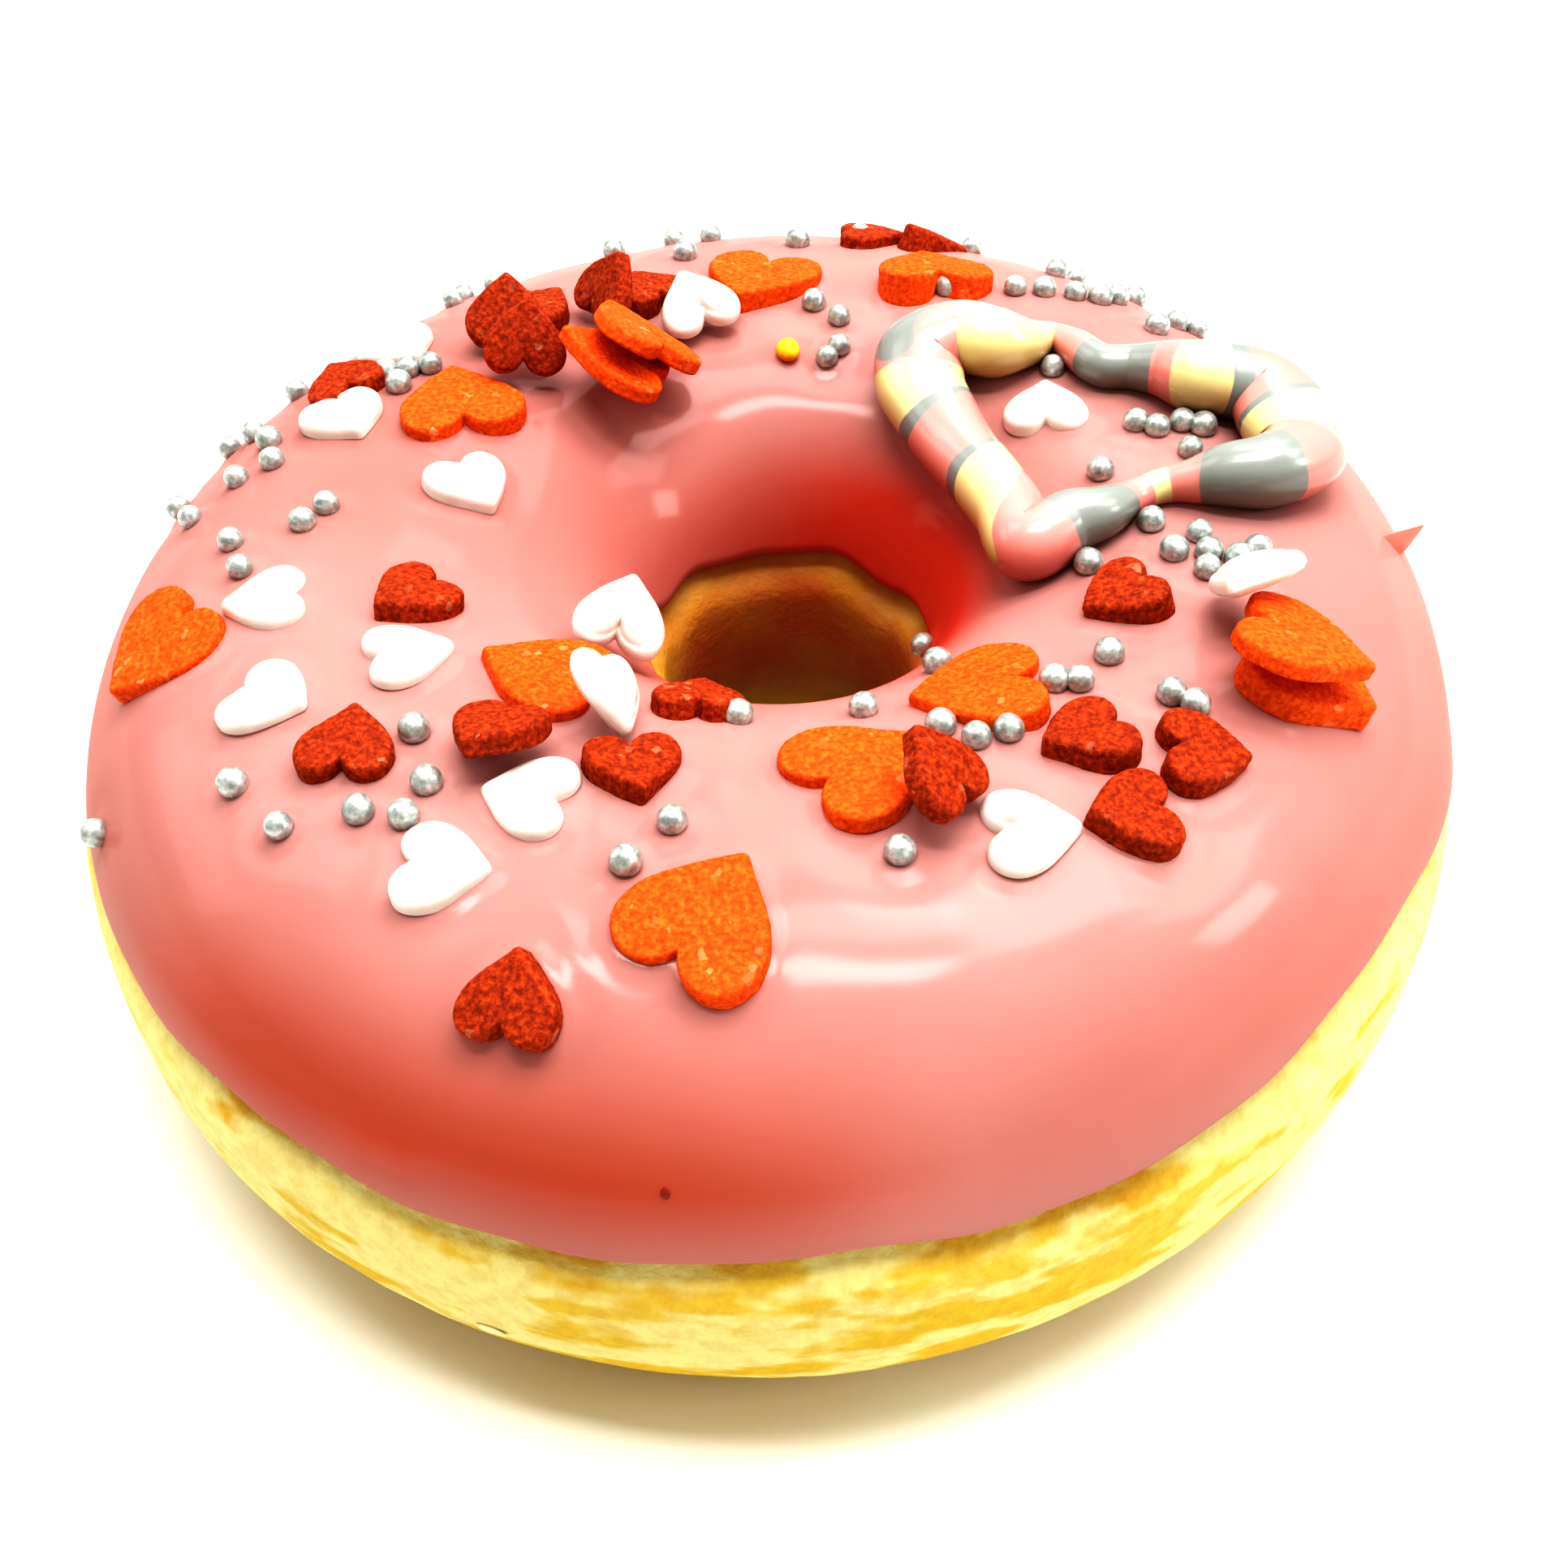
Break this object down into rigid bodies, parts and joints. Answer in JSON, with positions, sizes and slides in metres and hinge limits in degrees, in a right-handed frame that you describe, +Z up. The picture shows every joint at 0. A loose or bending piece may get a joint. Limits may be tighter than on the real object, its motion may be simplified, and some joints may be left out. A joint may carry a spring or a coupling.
{
  "type": "sprinkle frosted doughnut",
  "caption": "Ring doughnut of golden dough with poured salmon-pink icing, a striped heart-shaped candy ring and orange, red and white sugar hearts and pearls.",
  "frame": {"origin": "on the table under the middle of the ring", "axes": "+Z up through the hole; -Y is the near side, with most of the sugar hearts on the left and front; the candy heart ring lies to the right and back of the hole"},
  "size_m": [0.0928, 0.0955, 0.0396],
  "materials": {
    "dough": "fried dough: soft, matt and finely pitted, pale yellow with golden patches",
    "icing": "poured sugar icing: thick, wet-looking salmon pink",
    "candy": "pressed candy with bands of pink, pale yellow and silver grey, satin",
    "orange_heart": "coarse pressed sugar, matt and grainy",
    "red_heart": "coarse pressed sugar, matt and grainy",
    "white_heart": "smooth pressed sugar, rounded faces"
  },
  "bodies": {
    "root": {"dough": "dough", "icing": "icing", "candy_heart": "candy", "orange_heart_01": "orange_heart", "orange_heart_02": "orange_heart", "orange_heart_03": "orange_heart", "orange_heart_04": "orange_heart", "orange_heart_05": "orange_heart", "orange_heart_06": "orange_heart", "orange_heart_07": "orange_heart", "orange_heart_08": "orange_heart", "orange_heart_09": "orange_heart", "orange_heart_10": "orange_heart", "orange_heart_11": "orange_heart", "orange_heart_12": "orange_heart", "red_heart_01": "red_heart", "red_heart_02": "red_heart", "red_heart_03": "red_heart", "red_heart_04": "red_heart", "red_heart_05": "red_heart", "red_heart_06": "red_heart", "red_heart_07": "red_heart", "red_heart_08": "red_heart", "red_heart_09": "red_heart", "red_heart_10": "red_heart", "red_heart_11": "red_heart", "red_heart_12": "red_heart", "red_heart_13": "red_heart", "red_heart_14": "red_heart", "red_heart_15": "red_heart", "red_heart_16": "red_heart", "red_heart_17": "red_heart", "red_heart_18": "red_heart", "red_heart_19": "red_heart", "white_heart_01": "white_heart", "white_heart_02": "white_heart", "white_heart_03": "white_heart", "white_heart_04": "white_heart", "white_heart_05": "white_heart", "white_heart_06": "white_heart", "white_heart_07": "white_heart", "white_heart_08": "white_heart", "white_heart_09": "white_heart", "white_heart_10": "white_heart", "white_heart_11": "white_heart", "white_heart_12": "white_heart", "white_heart_13": "white_heart", "white_heart_14": "white_heart"}
  },
  "joints": []
}
